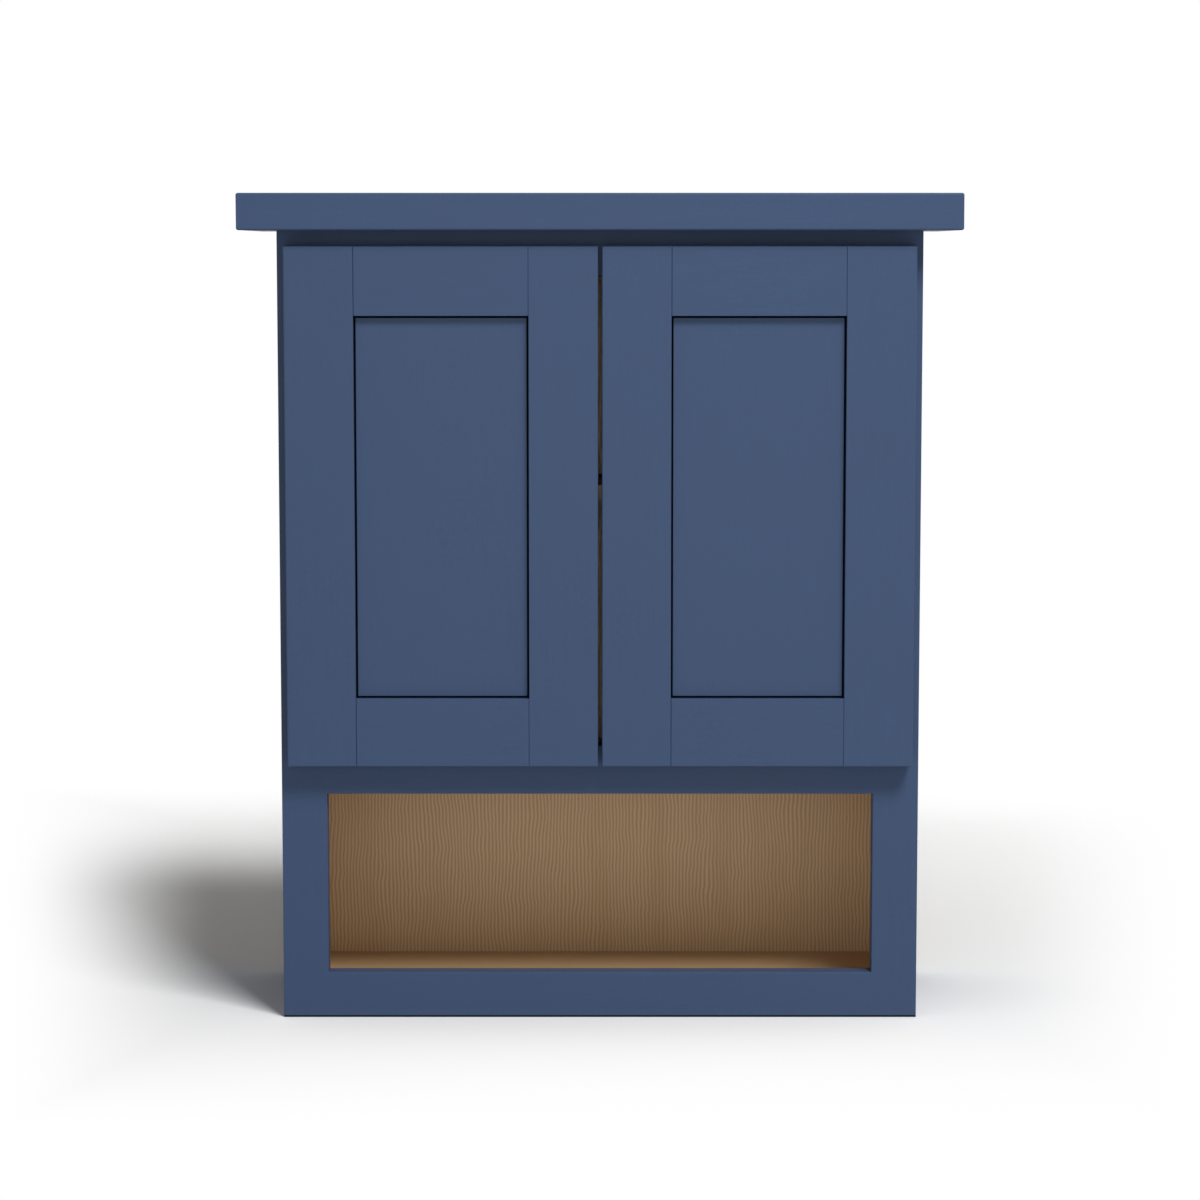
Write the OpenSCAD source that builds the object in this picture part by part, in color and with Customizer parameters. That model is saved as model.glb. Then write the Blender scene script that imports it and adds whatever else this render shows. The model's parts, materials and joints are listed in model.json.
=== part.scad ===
// Wall-mounted bathroom cabinet: a face-frame case with two overlay doors
// above an open niche, under a square crown.
// The wall plane is Y = 0 and the front faces -Y. X = 0 is the middle of the
// width, and Z = 0 is the bottom of the case.

/* [Case] */
// Width of the case across the face frame
case_w = 609.6; // [500:0.1:914]
// Height of the case, up to where the crown sits on it
case_h = 762; // [650:0.1:1067]
// Depth from the wall to the front of the face frame
case_d = 203.2; // [150:0.1:330]
// Thickness of the sides
side_t = 12.7; // [11:0.1:19]
// Thickness of the top, middle and bottom panels
panel_t = 12.7; // [9:0.1:19]
// Thickness of the back panel
back_t = 6.35; // [4:0.05:9]
// Depth of the dados and grooves in the sides
dado_d = 6.35; // [4:0.05:7]
// How far the niche floor and the cupboard floor lie below the top of their rail
floor_lip = 18.5; // [4:0.1:26]

/* [Hanging rails] */
// Thickness of the rails that hang the case on the wall
hang_t = 12.7; // [9:0.1:22]
// Height of the upper hanging rail
upper_hang_h = 101.6; // [90:0.1:130]
// Height of the middle hanging rail
middle_hang_h = 76.2; // [64:0.1:120]
// Height of the lower hanging rail
lower_hang_h = 63.5; // [50:0.1:90]
// Distance between the wall screws from left to right, one stud spacing
wall_hole_pitch = 406.4; // [300:0.1:430]
// Diameter of the wall screw holes
wall_hole_dia = 5; // [4:0.1:8]
// Distance of the upper wall holes below the top of the case
wall_hole_drop = 71.8; // [60:0.1:85]
// Distance of the lower wall holes above the cupboard floor
wall_hole_rise = 38; // [30:0.1:45]

/* [Face frame] */
// Thickness of the face frame
frame_t = 19; // [16:0.1:25]
// Width of the two frame stiles
stile_w = 43.4; // [40:0.1:60]
// Height of the top rail
top_rail_h = 50.2; // [40:0.1:80]
// Height of the middle rail
middle_rail_h = 46.4; // [38:0.1:70]
// Height of the bottom rail
bottom_rail_h = 43.9; // [38:0.1:70]
// Height of the open niche between the bottom and middle rails
niche_h = 174; // [120:0.1:230]
// Length of the tenons on the rails
tenon_l = 19; // [10:0.1:30]
// Thickness of the tenons on the rails
tenon_t = 6.4; // [4:0.1:9]
// Shoulder above and below each tenon
tenon_shoulder = 7; // [4:0.1:12]

/* [Crown] */
// Height of the crown moulding
crown_h = 34.6; // [25:0.1:60]
// How far the crown stands out past the case at the front and sides
crown_out = 34.4; // [28:0.1:60]
// How far the crown laps down over the top of the case
crown_lap = 7.4; // [3:0.1:12]
// Width of the crown that bears on top of the case
crown_seat = 38; // [32:0.1:60]
// Bevel along the crown's outer edges
crown_bevel = 1.2; // [0.4:0.1:4]

/* [Doors] */
// Thickness of the doors
door_t = 19; // [18:0.1:22]
// Overlay of each door on its face frame stile
side_lap = 35.6; // [34:0.1:36.5]
// Overlay of the doors on the top rail
top_lap = 28.1; // [12:0.1:34]
// Overlay of the doors on the middle rail
bottom_lap = 16.9; // [12:0.1:30]
// Gap between the two doors
door_gap = 3.8; // [2:0.1:6]
// Gap between the backs of the doors and the face frame
door_space = 3; // [2.8:0.1:4]
// Width of the door stiles and door rails
door_frame_w = 65.2; // [55:0.1:80]
// Recess of the door panel behind the front of its frame
panel_recess = 6.35; // [3:0.05:8]
// Width of the shadow line round the raised field of the panel
field_gap = 1.9; // [1:0.1:4]
// Depth of the shadow line round the field
field_step = 3.5; // [1.5:0.1:4]
// Thickness of the panel's tongue and of the tenons on the door rails
tongue_t = 5; // [4:0.1:6]
// Depth of the groove in the door stiles and rails
groove_d = 9.5; // [7:0.1:12]
// Room left for the panel to move in its groove
panel_float = 1.5; // [0.5:0.1:3]
// Bevel on the front edges of the doors and on the rail ends
door_ease = 0.8; // [0.3:0.1:2]
// Bevel on the back edges of the doors
back_ease = 1.5; // [1:0.1:2]
// Diameter of the door bumpers
bumper_dia = 9; // [6:0.1:12]

/* [Hinges] */
// Distance from a door's end to the middle of the nearest hinge
hinge_inset = 89; // [60:0.1:140]
// Diameter of the hinge cup
cup_dia = 35; // [35:0.1:36]
// Depth of the hinge cup in the door
cup_depth = 13; // [12.7:0.1:13.5]
// Thickness of the cup's flange on the back of the door
flange_t = 1.4; // [1:0.1:1.8]
// Distance between the two screws of a cup
cup_screw_pitch = 45; // [44:0.1:52]
// Diameter of the hinge pin
pin_dia = 2.2; // [1.8:0.1:2.4]
// Depth of the pin's axis behind the back face of the door
pin_depth = 9.4; // [9.2:0.1:9.6]
// Thickness of the hinge arm
arm_t = 1.8; // [1.2:0.1:2]
// Width of the arm at the pin
knuckle_w = 9.2; // [7:0.1:9.4]
// Width of the arm away from the pin
arm_w = 12.4; // [10:0.1:12.6]
// Height of the arm's plate on the edge of the frame stile
plate_h = 50; // [44:0.1:64]
// Distance between the two screws of an arm's plate
plate_screw_pitch = 32; // [28:0.1:40]

/* [Shelf] */
// Gap between each end of the shelf and the side
shelf_gap = 1.6; // [1:0.1:3]
// Thickness of the lipping along the shelf's front edge
lipping_t = 3; // [0.6:0.1:10]
// Thickness of the shelf
shelf_t = 12.7; // [9:0.1:25]
// Distance from the shelf's front edge to the back of the face frame
shelf_setback = 4; // [2:0.1:40]
// Diameter of the shelf pin holes
peg_dia = 5; // [4:0.1:7]
// Vertical distance between shelf pin holes
peg_pitch = 32; // [20:0.1:50]
// Number of shelf pin holes in a column
peg_rows = 7; // [3:2:9]
// Distance of the pin columns from the front and back of the side
peg_setback = 37; // [25:0.1:50]
// Depth of the shelf pin holes
peg_depth = 9; // [6:0.1:9.5]

/* [Screws] */
// Shank diameter of the wood screws
screw_dia = 3.5; // [3:0.1:4]
// Head diameter of the wood screws
head_dia = 6.6; // [6:0.1:7]
// Length of the screws that hold the crown
crown_screw_l = 31; // [25:0.1:36]
// Length of the screws in the hinges
hinge_screw_l = 12; // [9:0.1:14]
// Distance of the crown's front screws from the sides of the case
front_screw_inset = 122; // [60:0.1:200]
// Distance of the crown's side screws from the wall and from the face frame
side_screw_inset = 50; // [35:0.1:60]

/* [Hidden] */
// Clearance round screws, tenons and cups
fit_gap = 0.1;
// Running clearance between a hinge pin and its arm, on the radius
pin_gap = 0.05;
// Amount by which a cutting shape runs past the face that it opens
past = 1;
// How far a hinge cup's pocket stays clear of the arm
pocket_gap = 0.4;
wood = "#9c8058";
blue = "#48597a";
steel = "#b8bcc2";
clear_rubber = "#d8d8d2";

inner_w = case_w - 2 * side_t;
open_w = case_w - 2 * stile_w;
back_face = hang_t + back_t;
box_front = case_d - frame_t;
bottom_panel_z = bottom_rail_h - floor_lip - panel_t;
middle_rail_z = bottom_rail_h + niche_h;
middle_rail_top = middle_rail_z + middle_rail_h;
cupboard_floor = middle_rail_top - floor_lip;
middle_panel_z = cupboard_floor - panel_t;
top_rail_z = case_h - top_rail_h;
top_panel_z = case_h - panel_t;
upper_hole_z = case_h - wall_hole_drop;
lower_hole_z = cupboard_floor + wall_hole_rise;
tenon_y = -(case_d - (frame_t - tenon_t) / 2);

hinge_edge = open_w / 2 + side_lap;
door_w = hinge_edge - door_gap / 2;
door_z = middle_rail_top - bottom_lap;
door_top = top_rail_z + top_lap;
door_h = door_top - door_z;
door_back = case_d + door_space;
door_front = door_back + door_t;
field_w = door_w - 2 * door_frame_w;
field_h = door_h - 2 * door_frame_w;
tongue_front = door_front - panel_recess - field_step;
tongue_back = tongue_front - tongue_t;
bumper_t = door_space - 2 * fit_gap;
bumper_bevel = 1;

cup_r = cup_dia / 2;
cup_wall = 1;
flange_rim = 1.5;
cup_past_stile = 3.4;
cup_u = side_lap - cup_r + cup_past_stile;
pin_from_rim = 4;
pin_u = cup_u - cup_r + pin_from_rim;
pin_r = pin_dia / 2;
eye_wall = 1.1;
eye_r = pin_r + eye_wall;
eye_side_gap = 0.4;
ear_l = 4.5;
rim_notch = 0.4;
neck_l = 11.5;
arm_deep = pin_depth + eye_r;
bend_r = 0.8;
plate_inset = 0.6;
plate_corner = 3;
lug_u = 9.5;
lug_r = head_dia / 2 + 2.2;
hinge_z = [door_z + hinge_inset, door_top - hinge_inset];

peg_r = peg_dia / 2;
peg_mid = (cupboard_floor + top_panel_z) / 2;
peg_y = [back_face + peg_setback, box_front - peg_setback];
peg_out = 9;
peg_tongue_h = 2;
collar_r = peg_r + 1.2;
collar_t = 1;
shelf_rest = 0.1;
shelf_z = peg_mid + peg_r + shelf_rest;
shelf_back_gap = 1;
shelf_front = box_front - shelf_setback;
head_h = (head_dia - screw_dia) / 2;
screw_tip = 4;
tip_r = 0.4;
side_screw_x = case_w / 2 - side_t - (crown_seat - side_t) / 2;
front_screw_y = -(case_d - frame_t - (crown_seat - frame_t) / 2);
front_screw_x = case_w / 2 - front_screw_inset;
side_screw_y = [-side_screw_inset, -(box_front - side_screw_inset)];

$fn = 48;

// A box given by its lowest and highest corners
module block(low, high) {
    translate(low) cube(high - low);
}

// Everything is drawn for the left side and mirrored for the right
module on_side(right) {
    if (right) mirror([1, 0, 0]) children();
    else children();
}

// A straight bar along X with the section given in (-Y, Z)
module bar_along_x(length, section) {
    rotate([90, 0, -90]) linear_extrude(length, center = true) polygon(section);
}

// A rod along X from x0 to x1
module rod_x(r, x0, x1) {
    translate([x0, 0, 0]) rotate([0, 90, 0]) cylinder(r = r, h = x1 - x0);
}

// A rod along Y from y0 to y1
module rod_y(r, y0, y1) {
    translate([0, y1, 0]) rotate([90, 0, 0]) cylinder(r = r, h = y1 - y0);
}

// A countersunk wood screw: its head's face is at Z = 0 and it points up. With
// extra it is the hole for one, and runs out past the face that it opens.
module screw(length, extra = 0) {
    head_r = head_dia / 2 + extra;
    shank_r = screw_dia / 2 + extra;
    end = length + extra;
    face = extra > 0 ? [[0, -past], [head_r, -past], [head_r, 0]] : [[0, 0], [head_r, 0]];
    shank = [[shank_r, head_h], [shank_r, end - screw_tip], [tip_r, end], [0, end]];
    rotate_extrude() polygon(concat(face, shank));
}

// A cross recess for a screw driver, cut into a screw head at Z = 0
module cross_recess() {
    slot_l = head_dia * 0.5;
    slot_w = head_dia * 0.13;
    slot_d = head_h * 0.7;
    for (turn = [0, 90])
        rotate([0, 0, turn])
            translate([-slot_l / 2, -slot_w / 2, -past]) cube([slot_l, slot_w, slot_d + past]);
}

module driven_screw(length) {
    difference() {
        screw(length);
        cross_recess();
    }
}

module crown_screw_places() {
    for (x = [-front_screw_x, front_screw_x])
        translate([x, front_screw_y, top_panel_z]) children();
    for (x = [-side_screw_x, side_screw_x], y = side_screw_y)
        translate([x, y, top_panel_z]) children();
}

module wall_holes() {
    for (x = [-wall_hole_pitch / 2, wall_hole_pitch / 2], z = [lower_hole_z, upper_hole_z])
        translate([x, 0, z]) rod_y(wall_hole_dia / 2, -back_face - past, past);
}

// Places on the inner face of the left side where a shelf pin hole starts
module peg_places(rows) {
    for (row = rows, y = peg_y)
        translate([-inner_w / 2, -y, peg_mid + row * peg_pitch]) children();
}

module case_side() {
    face = -inner_w / 2;
    half_rows = (peg_rows - 1) / 2;
    color(blue) difference() {
        block([-case_w / 2, -box_front, 0], [face, 0, case_h]);
        for (z = [bottom_panel_z, middle_panel_z])
            block([face - dado_d, -box_front - past, z], [face + past, -back_face, z + panel_t]);
        block([face - dado_d, -box_front - past, top_panel_z],
              [face + past, -back_face, case_h + past]);
        block([face - dado_d, -back_face, bottom_panel_z], [face + past, -hang_t, case_h + past]);
        peg_places([-half_rows:half_rows]) rod_x(peg_r, -peg_depth, past);
    }
}

module flat_panel(z) {
    half = inner_w / 2 + dado_d;
    block([-half, -box_front, z], [half, -back_face, z + panel_t]);
}

module top_panel() {
    color(wood) difference() {
        flat_panel(top_panel_z);
        crown_screw_places() screw(crown_screw_l, fit_gap);
    }
}

module middle_panel() {
    color(wood) flat_panel(middle_panel_z);
}

module bottom_panel() {
    color(wood) flat_panel(bottom_panel_z);
}

module back_panel() {
    half = inner_w / 2 + dado_d;
    color(wood) difference() {
        block([-half, -back_face, bottom_panel_z], [half, -hang_t, case_h]);
        wall_holes();
    }
}

module hanging_rail(z, h) {
    color(wood) difference() {
        block([-inner_w / 2, -hang_t, z], [inner_w / 2, 0, z + h]);
        wall_holes();
    }
}

// The tenons of one face frame rail, or with extra the mortises for them
module frame_tenons(z, h, extra = 0) {
    reach = open_w / 2 + tenon_l + extra;
    low = z + tenon_shoulder - extra;
    high = z + h - tenon_shoulder + extra;
    block([-reach, tenon_y - extra, low], [reach, tenon_y + tenon_t + extra, high]);
}

module frame_rail(z, h) {
    color(blue) union() {
        block([-open_w / 2, -case_d, z], [open_w / 2, -box_front, z + h]);
        frame_tenons(z, h);
    }
}

module frame_stile() {
    rails = [[0, bottom_rail_h], [middle_rail_z, middle_rail_h], [top_rail_z, top_rail_h]];
    color(blue) difference() {
        block([-case_w / 2, -case_d, 0], [-open_w / 2, -box_front, case_h]);
        for (rail = rails) frame_tenons(rail[0], rail[1], fit_gap);
        for (z = hinge_z) translate([0, 0, z]) arm_screw_places() screw(hinge_screw_l, fit_gap);
    }
}

// Section of the crown: the first number runs out from the case, the second is the height
function crown_section() = let (
    low = case_h - crown_lap,
    high = low + crown_h,
    b = crown_bevel
) [
    [-crown_seat, case_h], [0, case_h], [0, low], [crown_out - b, low], [crown_out, low + b],
    [crown_out, high - b], [crown_out - b, high], [-crown_seat, high]
];

// Plan of the front crown, with its two mitres
module crown_front_plan() {
    outer_x = case_w / 2 + crown_out;
    inner_x = case_w / 2 - crown_seat;
    outer_y = -(case_d + crown_out);
    inner_y = -(case_d - crown_seat);
    polygon([[-outer_x, outer_y], [outer_x, outer_y], [inner_x, inner_y], [-inner_x, inner_y]]);
}

module crown_front() {
    out_section = [for (p = crown_section()) [case_d + p[0], p[1]]];
    color(blue) difference() {
        intersection() {
            bar_along_x(case_w + 2 * crown_out, out_section);
            linear_extrude(case_h + crown_h) crown_front_plan();
        }
        crown_screw_places() screw(crown_screw_l, fit_gap);
    }
}

module crown_return() {
    length = case_d + crown_out;
    color(blue) difference() {
        translate([-case_w / 2, 0, 0]) mirror([1, 0, 0])
            rotate([90, 0, 0]) linear_extrude(length) polygon(crown_section());
        linear_extrude(case_h + crown_h) crown_mitre_waste();
        crown_screw_places() screw(crown_screw_l, fit_gap);
    }
}

// What the mitre cuts off the front end of the left return
module crown_mitre_waste() {
    outer = crown_out + past;
    inner = crown_seat + past;
    corner = [-case_w / 2, -case_d];
    translate(corner)
        polygon([[-outer, -outer], [inner, inner], [inner, -outer - past], [-outer, -outer - past]]);
}

module crown_screws() {
    color(steel) crown_screw_places() driven_screw(crown_screw_l);
}

// A board of the shelf's length and thickness between two distances from the wall
module shelf_board(y0, y1) {
    half = inner_w / 2 - shelf_gap;
    color(wood) block([-half, -y1, shelf_z], [half, -y0, shelf_z + shelf_t]);
}

module shelf() {
    shelf_board(back_face + shelf_back_gap, shelf_front - lipping_t);
}

module shelf_lipping() {
    shelf_board(shelf_front - lipping_t, shelf_front);
}

// A shelf pin: a stem in the side, a collar and a flat tongue under the shelf
module shelf_pin() {
    union() {
        rod_x(peg_r - fit_gap, -peg_depth + fit_gap, collar_t);
        intersection() {
            rod_x(collar_r, 0, collar_t);
            block([0, -collar_r, -collar_r], [collar_t, collar_r, peg_r]);
        }
        block([0, -peg_r, peg_r - peg_tongue_h], [peg_out, peg_r, peg_r]);
    }
}

module shelf_pins() {
    color(steel) for (right = [false, true]) on_side(right) peg_places([0]) shelf_pin();
}

// Outline of the left door as a solid with eased edges
module door_blank() {
    x0 = -hinge_edge;
    x1 = x0 + door_w;
    e = door_ease;
    b = back_ease;
    plan = [
        [x0 + b, -door_back], [x0, -door_back - b], [x0, -door_front + e], [x0 + e, -door_front],
        [x1 - e, -door_front], [x1, -door_front + e], [x1, -door_back - b], [x1 - b, -door_back]
    ];
    profile = [
        [door_back, door_z + b], [door_back + b, door_z],
        [door_front - e, door_z], [door_front, door_z + e],
        [door_front, door_top - e], [door_front - e, door_top],
        [door_back + b, door_top], [door_back, door_top - b]
    ];
    intersection() {
        translate([0, 0, door_z]) linear_extrude(door_h) polygon(plan);
        translate([(x0 + x1) / 2, 0, 0]) bar_along_x(door_w + past, profile);
    }
}

// Part of the door blank between two distances from the hinge edge
module door_strip(u0, u1) {
    intersection() {
        door_blank();
        block([u0 - hinge_edge, -door_front - past, door_z - past],
              [u1 - hinge_edge, -door_back + past, door_top + past]);
    }
}

module door_stile(u0, groove_u, groove_side) {
    x = groove_u - hinge_edge;
    g0 = groove_side > 0 ? x : x - groove_d;
    difference() {
        door_strip(u0, u0 + door_frame_w);
        block([g0 - (groove_side > 0 ? past : 0), -tongue_front, door_z - past],
              [g0 + groove_d + (groove_side > 0 ? 0 : past), -tongue_back, door_top + past]);
    }
}

module door_hinge_stile(right) {
    color(blue) on_side(right) difference() {
        door_stile(0, door_frame_w, -1);
        for (z = hinge_z) translate([cup_u - hinge_edge, 0, z]) {
            rod_y(cup_r, -door_back - cup_depth, -door_back + past);
            cup_screw_places() screw(hinge_screw_l, fit_gap);
        }
    }
}

module door_free_stile(right) {
    color(blue) on_side(right) door_stile(door_w - door_frame_w, door_w - door_frame_w, 1);
}

// A door rail with stub tenons, eased where its front meets the stiles
module door_rail(right, z, groove_z) {
    x0 = door_frame_w - hinge_edge;
    x1 = x0 + field_w;
    e = door_ease;
    tenon = groove_d - fit_gap;
    plan = [
        [x0, -door_back], [x0, -tongue_back], [x0 - tenon, -tongue_back],
        [x0 - tenon, -tongue_front], [x0, -tongue_front], [x0, -door_front + e],
        [x0 + e, -door_front], [x1 - e, -door_front], [x1, -door_front + e],
        [x1, -tongue_front], [x1 + tenon, -tongue_front], [x1 + tenon, -tongue_back],
        [x1, -tongue_back], [x1, -door_back]
    ];
    color(blue) on_side(right) difference() {
        intersection() {
            door_blank();
            translate([0, 0, z]) linear_extrude(door_frame_w) polygon(plan);
        }
        block([x0 - groove_d - past, -tongue_front, groove_z - past],
              [x1 + groove_d + past, -tongue_back, groove_z + groove_d + past]);
    }
}

module door_top_rail(right) {
    door_rail(right, door_top - door_frame_w, door_top - door_frame_w - past);
}

module door_bottom_rail(right) {
    door_rail(right, door_z, door_z + door_frame_w - groove_d);
}

// The door panel: a field that stands free of the frame, and a tongue in its grooves
module door_panel(right) {
    x0 = door_frame_w - hinge_edge;
    z0 = door_z + door_frame_w;
    reach = groove_d - panel_float;
    gap = field_gap;
    color(blue) on_side(right) union() {
        block([x0 + gap, -door_front + panel_recess, z0 + gap],
              [x0 + field_w - gap, -tongue_front, z0 + field_h - gap]);
        block([x0 - reach, -tongue_front, z0 - reach],
              [x0 + field_w + reach, -tongue_back, z0 + field_h + reach]);
    }
}

// Two soft domes on the back of the door that meet the face frame
module door_bumpers(right) {
    r = bumper_dia / 2;
    x = door_w - hinge_edge - 2 * r - back_ease;
    color(clear_rubber) on_side(right)
        for (z = [door_z + bottom_lap / 2, door_top - top_lap / 2])
            translate([x, -door_back, z]) rotate([-90, 0, 0])
                rotate_extrude() polygon([[0, 0], [r, 0], [r, bumper_t - bumper_bevel],
                                          [r - bumper_bevel, bumper_t], [0, bumper_t]]);
}

// Places of the two screws of a cup, measured from the middle of the cup
module cup_screw_places() {
    for (side = [-1, 1])
        translate([lug_u, -door_back + flange_t, side * cup_screw_pitch / 2])
            rotate([90, 0, 0]) children();
}

// Flange of a hinge cup: a ring round the bore and a lug for each screw
module cup_flange() {
    pitch = cup_screw_pitch / 2;
    top_y = -door_back + flange_t;
    union() {
        rod_y(cup_r + flange_rim, -door_back, top_y);
        block([lug_u - lug_r, -door_back, -pitch], [lug_u + lug_r, top_y, pitch]);
        for (side = [-1, 1])
            translate([lug_u, 0, side * pitch]) rod_y(lug_r, -door_back, top_y);
    }
}

// The cup is a bowl with two ears that hold the ends of the pin. The arm leaves
// between the ears on one side and through a slot in the wall on the other.
module hinge_cup(right, z) {
    slot = arm_w / 2 + pocket_gap;
    knuckle = knuckle_w / 2 + eye_side_gap;
    pin_x = pin_u - cup_u;
    ear_x = pin_x + ear_l;
    floor_y = -door_back - cup_depth + cup_wall;
    mouth_y = -door_back + flange_t + past;
    far = cup_r + 2 * past;
    color(steel) on_side(right) translate([cup_u - hinge_edge, 0, z]) difference() {
        union() {
            rod_y(cup_r - fit_gap, -door_back - cup_depth + fit_gap, -door_back + flange_t / 2);
            cup_flange();
        }
        intersection() {
            rod_y(cup_r - cup_wall, floor_y, mouth_y);
            block([ear_x, floor_y - past, -far], [far, mouth_y + past, far]);
        }
        block([pin_x - eye_r - pocket_gap, floor_y, -knuckle], [ear_x + past, mouth_y, knuckle]);
        block([0, floor_y, -slot], [far, mouth_y, slot]);
        block([-far, -door_back - rim_notch, -slot], [ear_x + past, mouth_y, slot]);
        translate([pin_x, -door_back - pin_depth, 0])
            cylinder(r = pin_r + pin_gap / 2, h = 2 * (knuckle + ear_l), center = true);
        cup_screw_places() screw(hinge_screw_l, fit_gap);
    }
}

module hinge_pins(right) {
    half = knuckle_w / 2 + eye_side_gap + ear_l;
    color(steel) on_side(right) for (z = hinge_z)
        translate([pin_u - hinge_edge, -door_back - pin_depth, z])
            cylinder(r = pin_r, h = 2 * half, center = true);
}

module cup_screws(right) {
    color(steel) on_side(right) for (z = hinge_z)
        translate([cup_u - hinge_edge, 0, z]) cup_screw_places() driven_screw(hinge_screw_l);
}

// Places of the two screws in an arm's plate, on the inner edge of the frame stile
module arm_screw_places() {
    for (side = [-1, 1])
        translate([-open_w / 2 + arm_t, -box_front - frame_t / 2, side * plate_screw_pitch / 2])
            rotate([0, -90, 0]) children();
}

// The plate of an arm, flat on the edge of the frame stile, with rounded corners
module arm_plate() {
    x0 = -open_w / 2;
    x1 = x0 + arm_t;
    y0 = -case_d + plate_inset;
    y1 = -box_front - plate_inset;
    half = plate_h / 2;
    r = plate_corner;
    union() {
        block([x0, y0 + r, -half], [x1, y1 - r, half]);
        block([x0, y0, -half + r], [x1, y1, half - r]);
        for (y = [y0 + r, y1 - r], z = [-half + r, half - r])
            translate([0, y, z]) rod_x(r, x0, x1);
    }
}

// The arm: an eye round the pin, a strap along the floor of the cup, a bend that
// leaves the cup beside the frame stile, and the plate that is screwed to the stile
module hinge_arm(right, z) {
    pin_x = pin_u - hinge_edge;
    pin_y = -door_back - pin_depth;
    x0 = -open_w / 2;
    x1 = x0 + arm_t;
    deep_y = -door_back - arm_deep;
    outer_r = bend_r + arm_t;
    half = arm_w / 2;
    neck = knuckle_w / 2;
    color(steel) on_side(right) translate([0, 0, z]) difference() {
        union() {
            translate([pin_x, pin_y, 0]) cylinder(r = eye_r, h = knuckle_w, center = true);
            block([pin_x, deep_y, -neck], [pin_x + neck_l + past, deep_y + arm_t, neck]);
            block([pin_x + neck_l, deep_y, -half], [x1 - outer_r, deep_y + arm_t, half]);
            intersection() {
                translate([x1 - outer_r, deep_y + outer_r, 0]) difference() {
                    cylinder(r = outer_r, h = arm_w, center = true);
                    cylinder(r = bend_r, h = arm_w + past, center = true);
                }
                block([x1 - outer_r, deep_y, -half], [x1, deep_y + outer_r, half]);
            }
            block([x0, deep_y + outer_r, -half], [x1, -case_d + plate_inset + past, half]);
            arm_plate();
        }
        translate([pin_x, pin_y, 0])
            cylinder(r = pin_r + pin_gap, h = knuckle_w + past, center = true);
        arm_screw_places() screw(hinge_screw_l, fit_gap);
    }
}

module arm_screws(right) {
    color(steel) on_side(right) for (z = hinge_z)
        translate([0, 0, z]) arm_screw_places() driven_screw(hinge_screw_l);
}

case_side();  // left_side
on_side(true) case_side();  // right_side
top_panel();
middle_panel();
bottom_panel();
back_panel();
hanging_rail(case_h - upper_hang_h, upper_hang_h);  // upper_hanging_rail
hanging_rail(middle_panel_z, middle_hang_h);  // middle_hanging_rail
hanging_rail(0, lower_hang_h);  // lower_hanging_rail
frame_stile();  // frame_left_stile
on_side(true) frame_stile();  // frame_right_stile
frame_rail(top_rail_z, top_rail_h);  // frame_top_rail
frame_rail(middle_rail_z, middle_rail_h);  // frame_middle_rail
frame_rail(0, bottom_rail_h);  // frame_bottom_rail
crown_front();
crown_return();  // crown_left_return
on_side(true) crown_return();  // crown_right_return
crown_screws();
shelf();
shelf_lipping();
shelf_pins();
door_hinge_stile(false);  // left_door_hinge_stile
door_free_stile(false);  // left_door_free_stile
door_top_rail(false);  // left_door_top_rail
door_bottom_rail(false);  // left_door_bottom_rail
door_panel(false);  // left_door_panel
door_bumpers(false);  // left_door_bumpers
door_hinge_stile(true);  // right_door_hinge_stile
door_free_stile(true);  // right_door_free_stile
door_top_rail(true);  // right_door_top_rail
door_bottom_rail(true);  // right_door_bottom_rail
door_panel(true);  // right_door_panel
door_bumpers(true);  // right_door_bumpers
hinge_cup(false, hinge_z[1]);  // left_upper_hinge_cup
hinge_cup(false, hinge_z[0]);  // left_lower_hinge_cup
hinge_cup(true, hinge_z[1]);  // right_upper_hinge_cup
hinge_cup(true, hinge_z[0]);  // right_lower_hinge_cup
hinge_arm(false, hinge_z[1]);  // left_upper_hinge_arm
hinge_arm(false, hinge_z[0]);  // left_lower_hinge_arm
hinge_arm(true, hinge_z[1]);  // right_upper_hinge_arm
hinge_arm(true, hinge_z[0]);  // right_lower_hinge_arm
hinge_pins(false);  // left_hinge_pins
hinge_pins(true);  // right_hinge_pins
cup_screws(false);  // left_cup_screws
cup_screws(true);  // right_cup_screws
arm_screws(false);  // left_arm_screws
arm_screws(true);  // right_arm_screws
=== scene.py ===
# Wall-mounted bathroom cabinet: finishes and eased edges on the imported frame, with the camera,
# the floor and the soft light of its photograph. Lengths are in metres.
import json
import math

import bmesh
import bpy
from mathutils import Matrix, Vector


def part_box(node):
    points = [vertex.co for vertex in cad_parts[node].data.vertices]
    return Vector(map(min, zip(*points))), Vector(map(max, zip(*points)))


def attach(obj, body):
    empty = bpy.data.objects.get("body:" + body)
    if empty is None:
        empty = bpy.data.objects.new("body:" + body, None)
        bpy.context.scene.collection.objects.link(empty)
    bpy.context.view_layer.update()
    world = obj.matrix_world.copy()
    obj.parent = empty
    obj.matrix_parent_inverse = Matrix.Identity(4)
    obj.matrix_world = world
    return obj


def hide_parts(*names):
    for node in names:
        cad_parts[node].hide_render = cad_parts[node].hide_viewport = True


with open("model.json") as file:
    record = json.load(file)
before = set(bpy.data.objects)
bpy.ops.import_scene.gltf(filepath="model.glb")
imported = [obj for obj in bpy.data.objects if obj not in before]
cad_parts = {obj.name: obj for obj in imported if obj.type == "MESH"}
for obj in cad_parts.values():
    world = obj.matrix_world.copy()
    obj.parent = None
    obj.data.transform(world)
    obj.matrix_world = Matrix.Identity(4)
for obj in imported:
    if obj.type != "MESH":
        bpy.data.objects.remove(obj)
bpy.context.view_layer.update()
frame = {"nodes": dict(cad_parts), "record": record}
MM = 0.001


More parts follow.
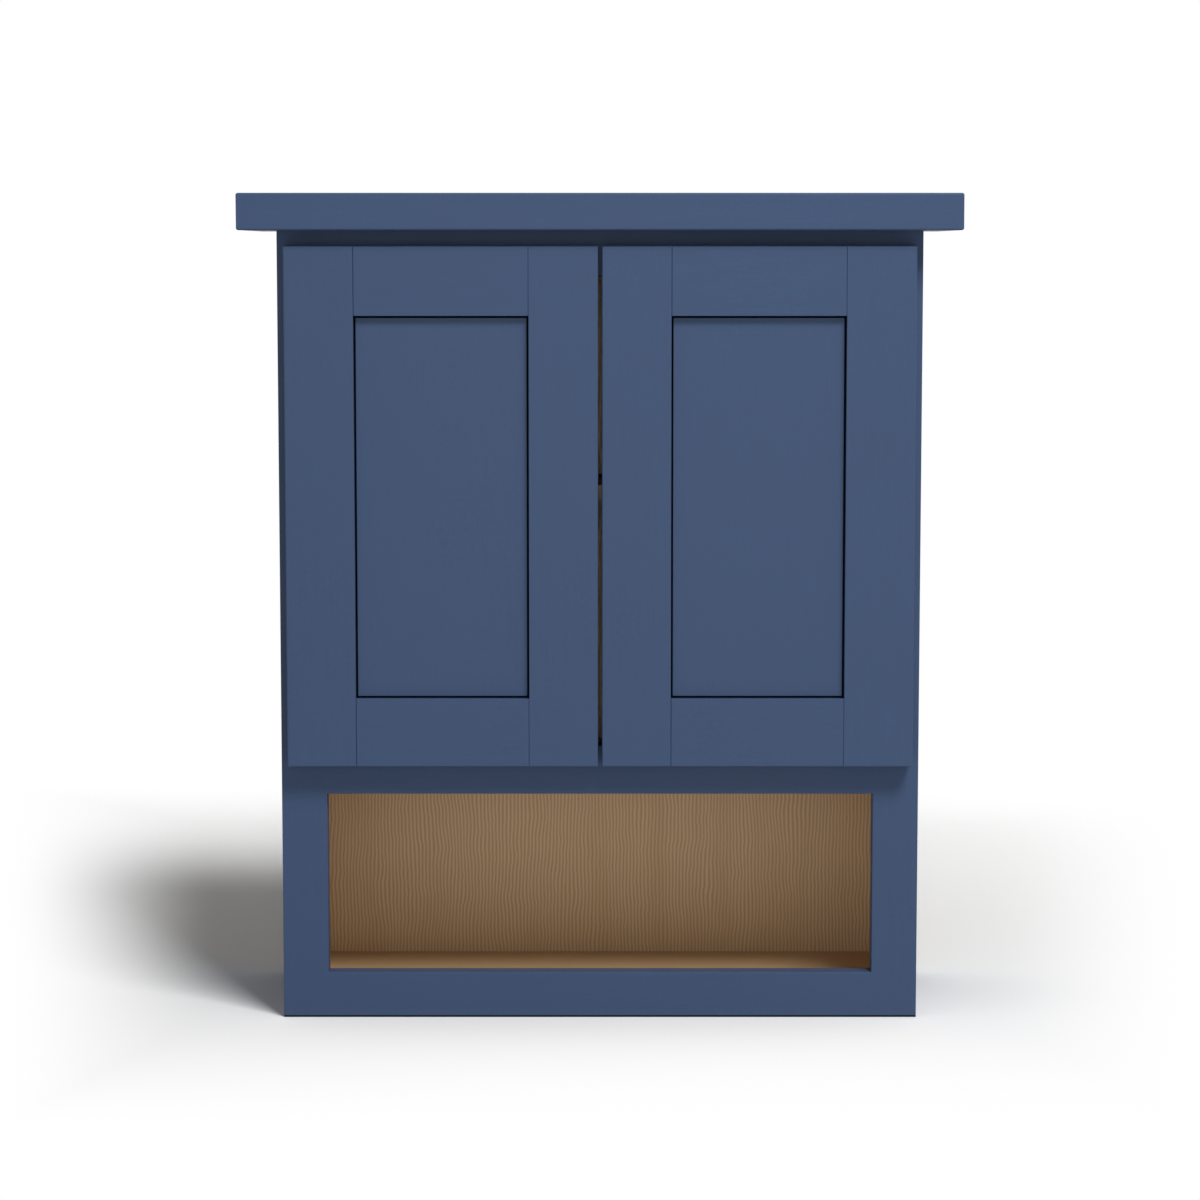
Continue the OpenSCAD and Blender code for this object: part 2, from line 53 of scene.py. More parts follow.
# Camera, as fitted to the edges in the photograph

CAMERA_PLACE = (0, -3.3672, 0.7372)
CAMERA_PITCH = math.radians(6)
CAMERA_LENS = 100.2
CAMERA_SENSOR = 36


def studio_camera():
    camera = bpy.data.objects.new("camera", bpy.data.cameras.new("camera"))
    camera.data.sensor_width = CAMERA_SENSOR
    camera.data.lens = CAMERA_LENS
    camera.location = CAMERA_PLACE
    camera.rotation_euler = (math.pi / 2 - CAMERA_PITCH, 0, 0)
    scene = bpy.context.scene
    scene.collection.objects.link(camera)
    scene.camera = camera
    scene.view_settings.view_transform = "Standard"


# Sizes read from the frame

SIDE_LOW, SIDE_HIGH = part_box("left_side")
STILE_LOW, STILE_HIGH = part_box("frame_left_stile")
MIDDLE_RAIL_LOW, MIDDLE_RAIL_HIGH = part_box("frame_middle_rail")
BACK_LOW, BACK_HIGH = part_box("back_panel")
CROWN_LOW, CROWN_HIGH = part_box("crown_front")
HALF_CASE = -SIDE_LOW.x
SIDE_FRONT = SIDE_LOW.y
FRAME_FRONT = STILE_LOW.y
HALF_OPENING = -STILE_HIGH.x
PLY_THICK = SIDE_HIGH.x - SIDE_LOW.x
BACK_THICK = BACK_HIGH.y - BACK_LOW.y
# Sill and head of the two openings in the face frame
NICHE = (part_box("frame_bottom_rail")[1].z, MIDDLE_RAIL_LOW.z)
CUPBOARD = (MIDDLE_RAIL_HIGH.z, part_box("frame_top_rail")[0].z)
# The field of the right door, which is what its stiles and rails leave of the panel
FIELD_LOW = Vector((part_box("right_door_free_stile")[1].x, 0,
                    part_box("right_door_bottom_rail")[1].z))
FIELD_HIGH = Vector((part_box("right_door_hinge_stile")[0].x, 0,
                     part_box("right_door_top_rail")[0].z))
FIELD_MIDDLE = (FIELD_LOW + FIELD_HIGH) / 2
HALF_FIELD = (FIELD_HIGH - FIELD_LOW) / 2
FIELD_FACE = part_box("right_door_panel")[0].y


# Nodes of a finish

class Value:
    """One output of a node, reckoned with like a number."""

    def __init__(self, nodes, socket):
        self.nodes = nodes
        self.socket = socket

    def maths(self, operation, *values):
        return self.nodes.node("Math", {"operation": operation}, dict(enumerate(values)))

    def __add__(self, other):
        return self.maths("ADD", self, other)

    def __radd__(self, other):
        return self.maths("ADD", other, self)

    def __sub__(self, other):
        return self.maths("SUBTRACT", self, other)

    def __rsub__(self, other):
        return self.maths("SUBTRACT", other, self)

    def __mul__(self, other):
        return self.maths("MULTIPLY", self, other)

    def __rmul__(self, other):
        return self.maths("MULTIPLY", other, self)

    def __truediv__(self, other):
        return self.maths("DIVIDE", self, other)

    def __mod__(self, other):
        return self.maths("FLOORED_MODULO", self, other)

    def __gt__(self, other):
        return self.maths("GREATER_THAN", self, other)

    def __lt__(self, other):
        return self.maths("LESS_THAN", self, other)

    def __abs__(self):
        return self.maths("ABSOLUTE", self)


class Nodes:
    """A node tree under construction, emptied first."""

    def __init__(self, owner):
        owner.use_nodes = True
        self.tree = owner.node_tree
        self.tree.nodes.clear()

    def node(self, kind, settings=None, inputs=None, out=0):
        """Adds a node and gives its output, a list of them for a tuple, or nothing for None."""
        made = self.tree.nodes.new("ShaderNode" + kind)
        for name, value in (settings or {}).items():
            setattr(made, name, value)
        for name, value in (inputs or {}).items():
            if isinstance(value, Value):
                self.tree.links.new(value.socket, made.inputs[name])
            else:
                made.inputs[name].default_value = value
        if isinstance(out, tuple):
            return [Value(self, made.outputs[name]) for name in out]
        return None if out is None else Value(self, made.outputs[out])

    def axes(self, vector):
        """The parts of a vector, by the name of their axis."""
        parts = self.node("SeparateXYZ", inputs={0: vector}, out=("X", "Y", "Z"))
        return dict(zip("xyz", parts))

    def vector(self, x, y, z):
        return self.node("CombineXYZ", inputs={0: x, 1: y, 2: z})

    def noise(self, where, scale, detail=2, roughness=0.5):
        sockets = {"Vector": where, "Scale": scale, "Detail": detail, "Roughness": roughness}
        return self.node("TexNoise", inputs=sockets)

    def between(self, value, span, ends=(0, 1)):
        """Goes smoothly from one end to the other while the value crosses a span."""
        sockets = {"Value": value, "From Min": span[0], "From Max": span[1],
                   "To Min": ends[0], "To Max": ends[1]}
        return self.node("MapRange", {"interpolation_type": "SMOOTHSTEP"}, sockets)

    # A Mix node has a factor and two inputs for each kind of value, so they go by number
    def mix(self, factor, first, second):
        return self.node("Mix", {"data_type": "RGBA"}, {0: factor, 6: first, 7: second}, 2)

    def mix_normals(self, factor, first, second):
        return self.node("Mix", {"data_type": "VECTOR"}, {0: factor, 4: first, 5: second}, 1)

    def bump(self, height, distance, strength, normal=None):
        sockets = {"Height": height, "Distance": distance, "Strength": strength}
        if normal:
            sockets["Normal"] = normal
        return self.node("Bump", inputs=sockets)

    def maximum(self, first, second):
        return self.node("Math", {"operation": "MAXIMUM"}, {0: first, 1: second})

    def seen(self):
        """1 for what the camera sees, straight or in gloss or through glass, and 0 for light."""
        camera_ray, glossy, through = self.node(
            "LightPath", out=("Is Camera Ray", "Is Glossy Ray", "Is Transmission Ray"))
        return self.maximum(self.maximum(camera_ray, glossy), through)


class Finish(Nodes):
    """A material: one Principled surface and the nodes that feed it."""

    def __init__(self, name):
        self.material = bpy.data.materials.new(name)
        super().__init__(self.material)
        self.where, self.facing = self.node("TexCoord", out=("Object", "Normal"))

    def stretched(self, x, y, z):
        return self.node("Mapping", inputs={"Vector": self.where, "Scale": (x, y, z)})

    def surface(self, **sockets):
        named = {name.replace("_", " "): value for name, value in sockets.items()}
        skin = self.node("BsdfPrincipled", inputs=named)
        self.node("OutputMaterial", inputs={"Surface": skin}, out=None)
        return self.material


def colour(red, green, blue):
    """A colour as its sRGB values from 0 to 255, made linear."""
    def linear(value):
        part = value / 255
        return part / 12.92 if part <= 0.04045 else ((part + 0.055) / 1.055) ** 2.4
    return (linear(red), linear(green), linear(blue), 1.0)


# The part of a pattern's range, from 0 to 1, that a roughness answers to
NARROW_SPAN = (0.3, 0.7)
MIDDLE_SPAN = (0.25, 0.75)
WIDE_SPAN = (0.2, 0.8)


# Blue paint

BLUE_THIN = colour(59, 80, 112)
BLUE = colour(58, 77, 109)
BLUE_THICK = colour(56, 75, 106)
# Where its tone, from 0 to 1, turns from thick to common and from common to thin
THICK_TO_COMMON = (0.36, 0.5)
COMMON_TO_THIN = (0.5, 0.64)
# What clouds, specks and the grain underneath add to the tone
CLOUD_SHARE = 0.3
SPECK_SHARE = 0.35
GRAIN_SHARE = 0.35
PAINT_ROUGHNESS = (0.44, 0.56)
PAINT_SHINE = 0.25
PEEL_HEIGHT = 0.06 * MM
PEEL_STRENGTH = 0.5
SHOWN_GRAIN_HEIGHT = 0.03 * MM
SHOWN_GRAIN_STRENGTH = 0.35
# How the grain under the paint is drawn out along each axis
GRAIN_STRETCH = {"x": (0.06, 1, 1), "y": (1, 0.06, 1), "z": (1, 1, 0.06)}
# Near-black painted shade goes on the lowest edge of the face frame, with the heights over
# which it gives way to the paint, and in the narrow slit round the field of a door panel, with its
# depth, how far to each side its walls are sought, and the depths over which the shade sets in
PAINTED_SHADE_BLACK = colour(4, 5, 7)
LOWEST_EDGE = (1.6 * MM, 2 * MM)
SLIT_DEPTH = 3.5 * MM
SLIT_REACH = 0.3 * MM
SLIT_EDGE = (0.03 * MM, SLIT_REACH)


def paint_layers(finish, grain):
    """Colour, roughness and normal of a sprayed satin paint over timber."""
    clouds = finish.noise(finish.where, scale=7)
    specks = finish.noise(finish.where, scale=300)
    along_grain = finish.stretched(*GRAIN_STRETCH[grain])
    shown_grain = finish.noise(along_grain, scale=420, detail=4, roughness=0.6)
    tone = clouds * CLOUD_SHARE + specks * SPECK_SHARE + shown_grain * GRAIN_SHARE
    body = finish.mix(finish.between(tone, THICK_TO_COMMON), BLUE_THICK, BLUE)
    shade = finish.mix(finish.between(tone, COMMON_TO_THIN), body, BLUE_THIN)
    roughness = finish.between(clouds * 0.5 + specks * 0.5, NARROW_SPAN, PAINT_ROUGHNESS)
    peel = finish.noise(finish.where, scale=330, detail=1)
    peeled = finish.bump(peel, PEEL_HEIGHT, PEEL_STRENGTH)
    normal = finish.bump(shown_grain, SHOWN_GRAIN_HEIGHT, SHOWN_GRAIN_STRENGTH, peeled)
    return shade, roughness, normal


def painted(finish, grain, shade_mask):
    """Blue paint with near-black painted shade where the shade mask is 1."""
    shade, roughness, normal = paint_layers(finish, grain)
    return finish.surface(Base_Color=finish.mix(shade_mask, shade, PAINTED_SHADE_BLACK),
                          Roughness=finish.maximum(shade_mask, roughness), Normal=normal,
                          Specular_IOR_Level=PAINT_SHINE)


def in_slit(finish):
    """1 on the walls and bottom of the slit between a door's frame and its panel's field, for
    painted shade.
    """
    place = finish.axes(finish.where)
    depth = place["y"] - FIELD_FACE
    deep = finish.between(depth, SLIT_EDGE) * (depth < SLIT_DEPTH + SLIT_REACH)
    between_stiles = abs(abs(place["x"]) - FIELD_MIDDLE.x) < HALF_FIELD.x + SLIT_REACH
    between_rails = abs(place["z"] - FIELD_MIDDLE.z) < HALF_FIELD.z + SLIT_REACH
    return deep * between_stiles * between_rails


def door_paint(grain):
    finish = Finish("door_paint_" + grain)
    # Near-black painted shade in the slit round the panel's field
    return painted(finish, grain, in_slit(finish))


def case_paint(grain):
    finish = Finish("blue_paint_" + grain)
    height = finish.axes(finish.where)["z"]
    # Near-black painted shade along the lowest edge of the face frame, next to the floor
    return painted(finish, grain, finish.between(height, LOWEST_EDGE, (1, 0)))


# Clear birch

BIRCH_LIGHT = colour(223, 194, 152)
BIRCH_DARK = colour(190, 156, 114)
BIRCH_FIGURE = colour(192, 155, 110)
# Painted shade: the colour of birch where it lies in shade
BIRCH_PAINTED_SHADE = colour(140, 114, 83)
BIRCH_ROUGHNESS = (0.52, 0.42)
# Its fine stripes, how far they drift over the sheet and how far they sway
STRIPE_PITCH = 3.6 * MM
STRIPE_DRIFT = 14 * MM
STRIPE_SWAY = 3.4 * MM
STRIPE_HEIGHT = 0.05 * MM
STRIPE_STRENGTH = 0.4
# What the stripes and the fibres add to its tone, and where the tone turns from dark to light
STRIPE_SHARE = 0.62
FIBRE_SHARE = 0.38
DARK_TO_LIGHT = (0.12, 0.9)
# Where the broad figure sets in, and how much it tints
FIGURE_FROM = (0.45, 0.75)
FIGURE_TINT = (0, 0.35)
# How much painted shade darkens the floor of the niche and the lipping
NICHE_FLOOR_SHADE_SHARE = 0.45
LIPPING_SHADE_SHARE = 0.8
# The plies at a bare edge, pale and dark in turn: where, in the span of a pale and a dark one
# from 0 to 1, the pale one gives way, and how far the glue line reaches to each side of there
PLIES = 9
PLY_LIGHT = colour(234, 206, 158)
PLY_DARK = colour(165, 126, 84)
PLY_CHANGE = (0.46, 0.54)
GLUE_LINE = (0.03, 0.07)
# How far the saw frayed the plies and how much it darkened them
SAW_GRIT = 0.3 * MM
SAW_FUZZ = 0.35
# The part of a surface's normal that has to lie along an axis for it to face that way
FACING = 0.5
# How far the paint of the sides goes round their outer corners
PAINT_WRAP = 0.9 * MM


def birch_layers(finish, grain):
    """Colour, roughness and normal of clear birch veneer with its grain along one axis."""
    place = finish.axes(finish.where)
    along = place[grain]
    first, second = (place[axis] for axis in "xyz" if axis != grain)
    across = first + second

    def pattern(drawn, layer, scale, detail=2, roughness=0.5):
        """Noise drawn in or out along the grain, from a layer of its own."""
        return finish.noise(finish.vector(across, along * drawn, layer), scale, detail, roughness)

    drift = pattern(drawn=0.6, layer=0, scale=14)
    sway = pattern(drawn=1.25, layer=3.75, scale=36)
    wave = across + drift * STRIPE_DRIFT + sway * STRIPE_SWAY
    phase = wave * (2 * math.pi / STRIPE_PITCH)
    lines = finish.node("Math", {"operation": "SINE"}, {0: phase}) * 0.5 + 0.5
    figure = pattern(drawn=0.1, layer=7, scale=30, detail=4, roughness=0.6)
    fibres = pattern(drawn=0.03, layer=5, scale=900, detail=3)
    stripe = lines * STRIPE_SHARE + fibres * FIBRE_SHARE
    wood = finish.mix(finish.between(stripe, DARK_TO_LIGHT), BIRCH_DARK, BIRCH_LIGHT)
    tinted = finish.mix(finish.between(figure, FIGURE_FROM, FIGURE_TINT), wood, BIRCH_FIGURE)
    roughness = finish.between(stripe, WIDE_SPAN, BIRCH_ROUGHNESS)
    normal = finish.bump(stripe, STRIPE_HEIGHT, STRIPE_STRENGTH)
    return tinted, roughness, normal


def ply_layers(finish, through, thickness):
    """Colour of a plywood edge, whose plies lie across the axis through the panel."""
    depth = finish.axes(finish.where)[through]
    grit = finish.noise(finish.where, scale=700, detail=3)
    layer = (depth + grit * SAW_GRIT) / (thickness / PLIES * 2) % 1
    glue = finish.between(abs(layer - 0.5), GLUE_LINE)
    plies = finish.mix(finish.between(layer, PLY_CHANGE), PLY_LIGHT, PLY_DARK)
    fuzzy = finish.mix(grit * SAW_FUZZ, plies, PLY_DARK)
    return finish.mix(glue, PLY_DARK, fuzzy)


def is_edge(finish, through):
    """1 where the surface is an edge of a panel and not one of its faces."""
    return abs(finish.axes(finish.facing)[through]) < FACING


def birch_panel(name, grain, through, thickness, shade_share=0.0):
    """A plywood panel: clear birch faces with the painted shade given, and bare edges that show
    the plies.
    """
    finish = Finish(name)
    fresh, roughness, normal = birch_layers(finish, grain)
    wood = finish.mix(shade_share, fresh, BIRCH_PAINTED_SHADE)
    edge = ply_layers(finish, through, thickness)
    shade = finish.mix(is_edge(finish, through), wood, edge)
    return finish.surface(Base_Color=shade, Roughness=roughness, Normal=normal)


def solid_birch(grain, shade_share):
    """Solid birch, made darker than the veneer by painted shade."""
    finish = Finish("birch_lipping")
    fresh, roughness, normal = birch_layers(finish, grain)
    wood = finish.mix(shade_share, fresh, BIRCH_PAINTED_SHADE)
    return finish.surface(Base_Color=wood, Roughness=roughness, Normal=normal)


def painted_side():
    """Paint outside and underneath, clear birch inside, bare plies at the wall."""
    finish = Finish("painted_side")
    shade, paint_roughness, paint_normal = paint_layers(finish, "z")
    wood, wood_roughness, wood_normal = birch_layers(finish, "z")
    edge = ply_layers(finish, "x", PLY_THICK)
    outside = abs(finish.axes(finish.where)["x"]) > HALF_CASE - PAINT_WRAP
    underneath = finish.axes(finish.facing)["z"] < -FACING
    covered = finish.maximum(outside, underneath)
    bare = finish.mix(is_edge(finish, "x"), wood, edge)
    return finish.surface(
        Base_Color=finish.mix(covered, bare, shade),
        Roughness=covered * paint_roughness + (1 - covered) * wood_roughness,
        Specular_IOR_Level=PAINT_SHINE,
        Normal=finish.mix_normals(covered, wood_normal, paint_normal))


# Hinges, screws, pins and bumpers

NICKEL_BRIGHT = colour(220, 217, 210)
NICKEL_DULL = colour(192, 190, 184)
NICKEL_ROUGHNESS = (0.32, 0.5)
STEEL_BRIGHT = colour(190, 190, 192)
STEEL_DULL = colour(150, 150, 154)
STEEL_ROUGHNESS = (0.15, 0.35)
# Marks of rolling run along the height of a part, and those of turning run round it
ROLLED = (1, 1, 0.08)
TURNED = (0.1, 0.1, 1)
MARK_DEPTH = 0.01 * MM
# What the haze of wear and the marks add to the roughness of nickel
HAZE_SHARE = 0.6
MARK_SHARE = 0.4
BUMPER_CLEAR = colour(226, 226, 220)
BUMPER_CLOUDED = colour(206, 206, 198)
BUMPER_ROUGHNESS = (0.25, 0.4)
BUMPER_DIMPLES = 0.03 * MM


def nickel():
    """Nickel plate with faint rolling marks and the haze of wear."""
    finish = Finish("nickel_plate")
    marks = finish.noise(finish.stretched(*ROLLED), scale=1500, detail=3)
    haze = finish.noise(finish.where, scale=60, detail=4)
    wear = haze * HAZE_SHARE + marks * MARK_SHARE
    return finish.surface(Base_Color=finish.mix(haze, NICKEL_BRIGHT, NICKEL_DULL),
                          Metallic=1.0,
                          Roughness=finish.between(wear, MIDDLE_SPAN, NICKEL_ROUGHNESS),
                          Normal=finish.bump(marks, MARK_DEPTH, strength=0.4))


def bright_steel():
    """Steel of the hinge pins, with faint rings from turning."""
    finish = Finish("hinge_steel")
    rings = finish.noise(finish.stretched(*TURNED), scale=2500)
    return finish.surface(Base_Color=finish.mix(rings, STEEL_BRIGHT, STEEL_DULL),
                          Metallic=1.0,
                          Roughness=finish.between(rings, WIDE_SPAN, STEEL_ROUGHNESS),
                          Normal=finish.bump(rings, MARK_DEPTH, strength=0.3))


def soft_bumper():
    """Soft translucent rubber."""
    finish = Finish("clear_bumper")
    haze = finish.noise(finish.where, scale=400)
    return finish.surface(Base_Color=finish.mix(haze, BUMPER_CLEAR, BUMPER_CLOUDED),
                          Roughness=finish.between(haze, NARROW_SPAN, BUMPER_ROUGHNESS),
                          Subsurface_Weight=0.4, Subsurface_Scale=2 * MM,
                          Normal=finish.bump(haze, BUMPER_DIMPLES, strength=0.3))


# Which finish goes where

CASE_PAINT = {grain: case_paint(grain) for grain in "xyz"}
DOOR_PAINT = {grain: door_paint(grain) for grain in "xz"}
BIRCH_ACROSS = birch_panel("birch_across", "x", "z", PLY_THICK)
# The floor of the niche carries painted shade
BIRCH_NICHE_FLOOR = birch_panel("birch_niche_floor", "x", "z", PLY_THICK, NICHE_FLOOR_SHADE_SHARE)
BIRCH_BACK = birch_panel("birch_back", "z", "y", BACK_THICK)
BIRCH_RAIL = birch_panel("birch_rail", "x", "y", PLY_THICK)
# The lipping carries painted shade, so that it stays dark in the gap between the doors
BIRCH_LIPPING = solid_birch("x", LIPPING_SHADE_SHARE)
PAINTED_SIDE = painted_side()
NICKEL = nickel()
STEEL = bright_steel()
BUMPER = soft_bumper()


def finish_of(node):
    """The finish that one node of the frame takes."""
    if "hinge_pins" in node:
        return STEEL
    if "screws" in node or "hinge_cup" in node or "hinge_arm" in node or node == "shelf_pins":
        return NICKEL
    if "bumpers" in node:
        return BUMPER
    if node in ("left_side", "right_side"):
        return PAINTED_SIDE
    if node == "shelf_lipping":
        return BIRCH_LIPPING
    if node == "back_panel":
        return BIRCH_BACK
    if "hanging_rail" in node:
        return BIRCH_RAIL
    if node == "bottom_panel":
        return BIRCH_NICHE_FLOOR
    if node in ("top_panel", "middle_panel", "shelf"):
        return BIRCH_ACROSS
    if "return" in node:
        return CASE_PAINT["y"]
    paint = DOOR_PAINT if "_door_" in node else CASE_PAINT
    return paint["z" if "stile" in node or "door_panel" in node else "x"]


def dress_frame():
    for node, part in frame["nodes"].items():
        part.data.materials.clear()
        part.data.materials.append(finish_of(node))


# Eased edges

FRAME_EASE = 0.7 * MM
DOOR_EASE = 0.35 * MM
CROWN_EASE = 0.5 * MM
EASE_SEGMENTS = 3
# The least area of two faces, and the least angle between them, that make a corner to ease
LEAST_FACE = 40 * MM ** 2
SHARP = math.radians(25)
# How near a corner lies to a place to be counted as there
NEAR = 0.2 * MM
# What a copy of a mesh takes for one plane, for one point and for a point on a cut
SAME_PLANE = math.radians(1)
SAME_POINT = 0.001 * MM
ON_CUT = 0.0001 * MM
# How near a door's joint lines a corner belongs to them, how far past the case's sides the
# crown's inside is sought, and how near its top and bottom a mitred corner ends
DOOR_JOINT_REACH = 1 * MM
CROWN_INSIDE_REACH = 5 * MM
MITRE_END = 3 * MM
BODY_OF = {node: body for body, nodes in frame["record"]["behaviour"]["bodies"].items()
           for node in nodes}


def level_cut(height):
    """A level plane as its point and its normal."""
    return Vector((0, 0, height)), Vector((0, 0, 1))


def merged(node, cuts):
    """A clean copy of a node's mesh in flat faces, which stay parted where a plane cuts them."""
    mesh = bmesh.new()
    mesh.from_mesh(frame["nodes"][node].data)
    bmesh.ops.remove_doubles(mesh, verts=mesh.verts, dist=SAME_POINT)
    for point, normal in cuts:
        everything = mesh.verts[:] + mesh.edges[:] + mesh.faces[:]
        cut = bmesh.ops.bisect_plane(mesh, geom=everything, plane_co=point, plane_no=normal,
                                     dist=ON_CUT)
        for item in cut["geom_cut"]:
            if isinstance(item, bmesh.types.BMEdge):
                item.seam = True
    bmesh.ops.dissolve_limit(mesh, angle_limit=SAME_PLANE, verts=mesh.verts, edges=mesh.edges,
                             delimit={"SEAM"})
    return mesh


def is_corner(edge):
    """A convex corner between two large faces, which a sander would reach."""
    if len(edge.link_faces) != 2 or not edge.is_convex:
        return False
    large = all(face.calc_area() > LEAST_FACE for face in edge.link_faces)
    return large and edge.calc_face_angle() > SHARP


def middle(edge):
    first, second = edge.verts
    return (first.co + second.co) / 2


def eased(node, radius, touched, cuts=()):
    """Stands for a painted node with the corners that are touched rounded over."""
    mesh = merged(node, cuts)
    corners = [edge for edge in mesh.edges if is_corner(edge) and touched(middle(edge))]
    bmesh.ops.bevel(mesh, geom=corners, offset=radius, offset_type="OFFSET",
                    segments=EASE_SEGMENTS, profile=0.5, affect="EDGES", material=-1,
                    clamp_overlap=True)
    bmesh.ops.recalc_face_normals(mesh, faces=mesh.faces)
    data = bpy.data.meshes.new(node + "_eased")
    mesh.to_mesh(data)
    mesh.free()
    data.materials.append(finish_of(node))
    piece = bpy.data.objects.new(node + "_eased", data)
    bpy.context.scene.collection.objects.link(piece)
    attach(piece, BODY_OF[node])
    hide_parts(node)


def at(value, wanted):
    return abs(value - wanted) < NEAR


def ease_frame():
    """Rounds the face frame at its openings and outer corners, but not at its joints."""
    openings = (NICHE, CUPBOARD)

    def on_stile(p):
        outer = at(abs(p.x), HALF_CASE)
        under = at(p.z, 0)
        beside = at(abs(p.x), HALF_OPENING) and any(sill < p.z < head for sill, head in openings)
        return at(p.y, FRAME_FRONT) and (outer or under or beside)

    def along(*levels):
        return lambda p: at(p.y, FRAME_FRONT) and any(at(p.z, level) for level in levels)

    joints = [level_cut(level) for level in NICHE + CUPBOARD]
    for side in ("left", "right"):
        eased(f"frame_{side}_stile", FRAME_EASE, on_stile, joints)
    eased("frame_bottom_rail", FRAME_EASE, along(0, NICHE[0]))
    eased("frame_middle_rail", FRAME_EASE, along(NICHE[1], CUPBOARD[0]))
    eased("frame_top_rail", FRAME_EASE, along(CUPBOARD[1]))


def ease_crown():
    """Rounds the crown, but not inside the case, at the wall or down its mitred corners."""

    def on_outside(p):
        inside = abs(p.x) < HALF_CASE + CROWN_INSIDE_REACH and p.y > SIDE_FRONT
        on_mitre = at(abs(p.x) - HALF_CASE, FRAME_FRONT - p.y)
        upright = CROWN_LOW.z + MITRE_END < p.z < CROWN_HIGH.z - MITRE_END
        return not (inside or on_mitre and upright or at(p.y, 0))

    for node in ("crown_front", "crown_left_return", "crown_right_return"):
        eased(node, CROWN_EASE, on_outside)


def ease_doors():
    """Rounds the edges of the doors, but not where stiles and rails meet in their faces."""

    joint_lines = (FIELD_LOW.x, FIELD_HIGH.x)

    def off_joint(p):
        beside = any(abs(abs(p.x) - line) < DOOR_JOINT_REACH for line in joint_lines)
        return not beside or FIELD_LOW.z < p.z < FIELD_HIGH.z

    joints = [level_cut(level) for level in (FIELD_LOW.z, FIELD_HIGH.z)]
    for side in ("left", "right"):
        for part in ("hinge_stile", "free_stile", "top_rail", "bottom_rail", "panel"):
            eased(f"{side}_door_{part}", DOOR_EASE, off_joint, joints if "stile" in part else ())


# Floor and light

WHITE = (1, 1, 1, 1)
FLOOR_HALF = 12
FLOOR_DROP = 0.1 * MM
FLOOR_GREY = 0.8
# To the eye the floor is paler than its bounce, and paler still with distance behind the front
FLOOR_SEEN = 1.175
FLOOR_SEEN_RISE = 0.45
# How far round the cabinet painted contact shade dims the floor, how much of the full shade it
# takes in line with the front, and how much more it takes with distance behind the front
CONTACT_REACH = 1.2
CONTACT_SHARE = 0.37
CONTACT_RISE = 2.67
# Where the floor starts to run out to white and where it is white: to each side of the middle,
# on a plan that widens with distance, then behind and before the front of the cabinet
SIDE_WHITE = (0.37, 0.58)
PLAN_SPREAD = 0.3
BACK_WHITE = (1.06, 1.41)
FRONT_WHITE = (0.0, 0.42)
WORLD_LIGHT = 0.153
# The middle of the cabinet, which the lamps face
LAMP_AIM = Vector((0, -0.15, 0.4))


def floor_finish():
    """Pale grey that keeps the shadow, adds painted contact shade and runs out to white for the
    camera and in gloss.
    """
    finish = Finish("floor")
    place = finish.axes(finish.where)
    seen = finish.seen()
    behind = place["y"] - FRAME_FRONT
    before = FRAME_FRONT - place["y"]
    open_sky = finish.node("AmbientOcclusion", {"samples": 6}, {"Distance": CONTACT_REACH}, "AO")
    # Painted contact shade, as seen and not in the bounce: the floor darker where the cabinet
    # hides the sky
    painted_contact_shade = 1 - (1 - open_sky) * (CONTACT_SHARE + behind * CONTACT_RISE)
    pale = (FLOOR_SEEN + behind * FLOOR_SEEN_RISE) * painted_contact_shade
    diffuse = finish.node("BsdfDiffuse", inputs={"Color": seen * (pale - FLOOR_GREY) + FLOOR_GREY})
    beside = abs(place["x"]) / (1 + behind * PLAN_SPREAD)
    ends = finish.between(behind, BACK_WHITE) + finish.between(before, FRONT_WHITE)
    far = finish.maximum(ends, finish.between(beside, SIDE_WHITE))
    glow = finish.node("Emission", inputs={"Color": WHITE, "Strength": 1.0})
    both = finish.node("MixShader", inputs={0: far * seen, 1: diffuse, 2: glow})
    finish.node("OutputMaterial", inputs={"Surface": both}, out=None)
    return finish.material


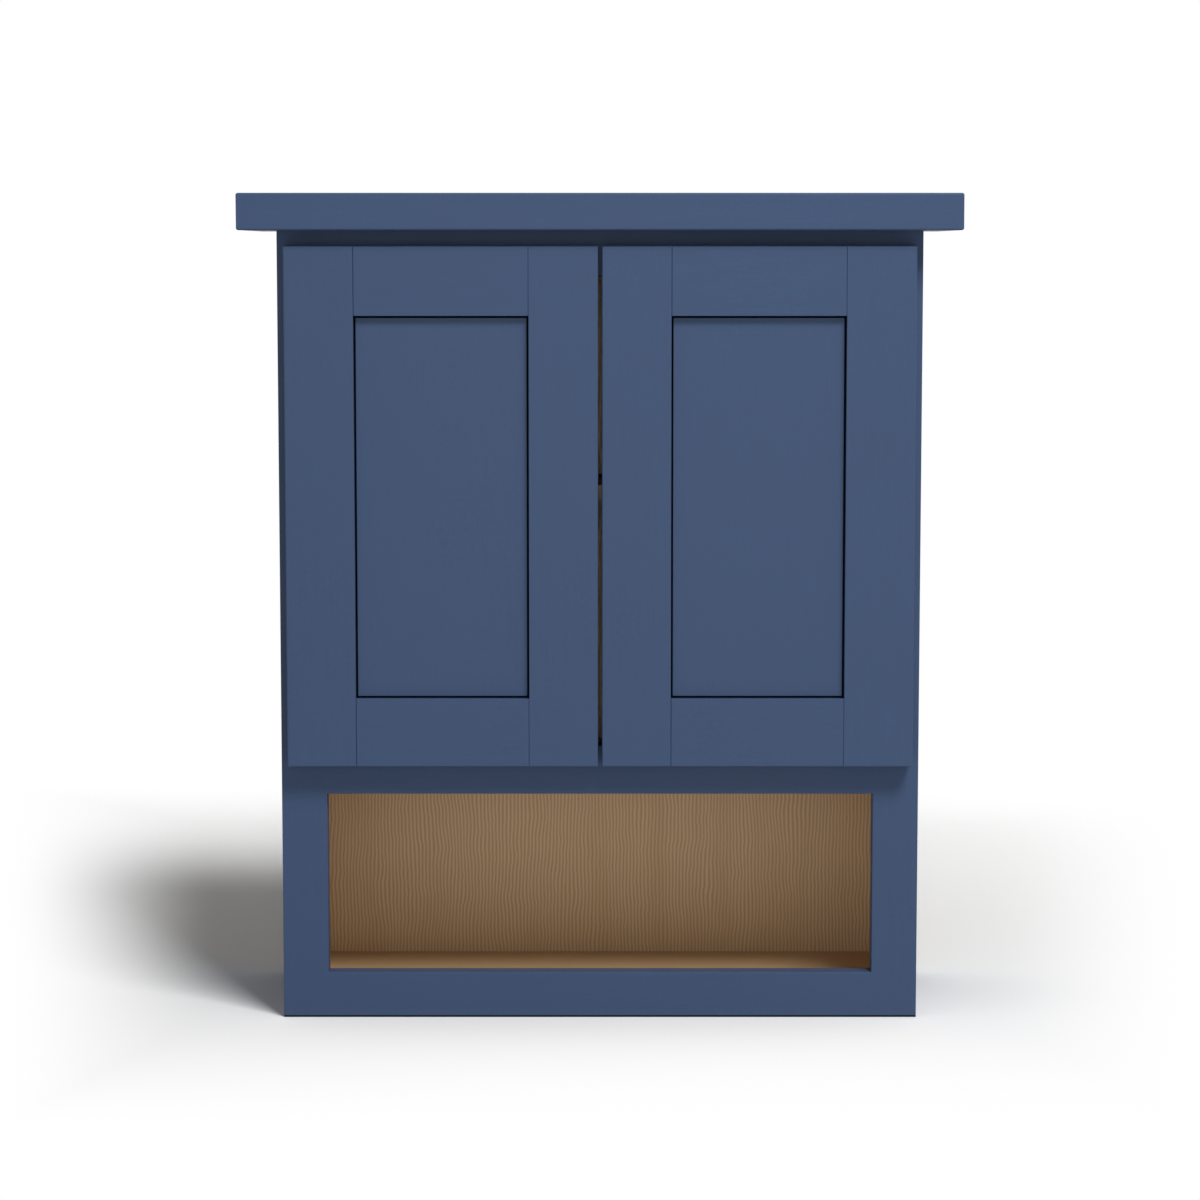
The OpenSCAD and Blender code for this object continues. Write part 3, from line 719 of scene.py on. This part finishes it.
def studio_floor():
    """A wide level floor just under the cabinet."""
    mesh = bmesh.new()
    bmesh.ops.create_grid(mesh, x_segments=1, y_segments=1, size=FLOOR_HALF)
    bmesh.ops.translate(mesh, vec=(0, 0, -FLOOR_DROP), verts=mesh.verts)
    data = bpy.data.meshes.new("floor")
    mesh.to_mesh(data)
    mesh.free()
    data.materials.append(floor_finish())
    floor = bpy.data.objects.new("floor", data)
    bpy.context.scene.collection.objects.link(floor)


def studio_world():
    """Even light from all round, which the camera and gloss see as white."""
    world = bpy.data.worlds.new("studio")
    bpy.context.scene.world = world
    sky = Nodes(world)
    dim = sky.node("Background", inputs={"Color": WHITE, "Strength": WORLD_LIGHT})
    white = sky.node("Background", inputs={"Color": WHITE, "Strength": 1.0})
    both = sky.node("MixShader", inputs={0: sky.seen(), 1: dim, 2: white})
    sky.node("OutputWorld", inputs={"Surface": both}, out=None)


def softbox(name, azimuth, elevation, away, width, height, strength):
    """A soft lamp that faces the cabinet: azimuth 0 is behind the camera, 90 to its right.

    Its strength is the light that it throws on a sheet held square to it at the cabinet.
    """
    light = bpy.data.lights.new(name, "AREA")
    light.shape = "RECTANGLE"
    light.size = width
    light.size_y = height
    light.energy = strength * math.pi ** 2 * away ** 2
    turn = math.radians(azimuth)
    tilt = math.radians(elevation)
    towards = Vector((math.sin(turn) * math.cos(tilt), -math.cos(turn) * math.cos(tilt),
                      math.sin(tilt)))
    lamp = bpy.data.objects.new(name, light)
    facing = towards.to_track_quat("Z", "Y").to_matrix().to_4x4()
    lamp.matrix_world = Matrix.Translation(LAMP_AIM + towards * away) @ facing
    lamp.visible_camera = False
    bpy.context.scene.collection.objects.link(lamp)


studio_camera()
dress_frame()
ease_frame()
ease_crown()
ease_doors()
studio_floor()
studio_world()
softbox("key", azimuth=30.5, elevation=50.5, away=4.5, width=1.6, height=1.2, strength=0.875)
# The fill is narrow and in line with the gap between the doors, so that some of it gets in
softbox("low_fill", azimuth=0, elevation=4, away=3.0, width=0.1, height=1.8, strength=0.1)
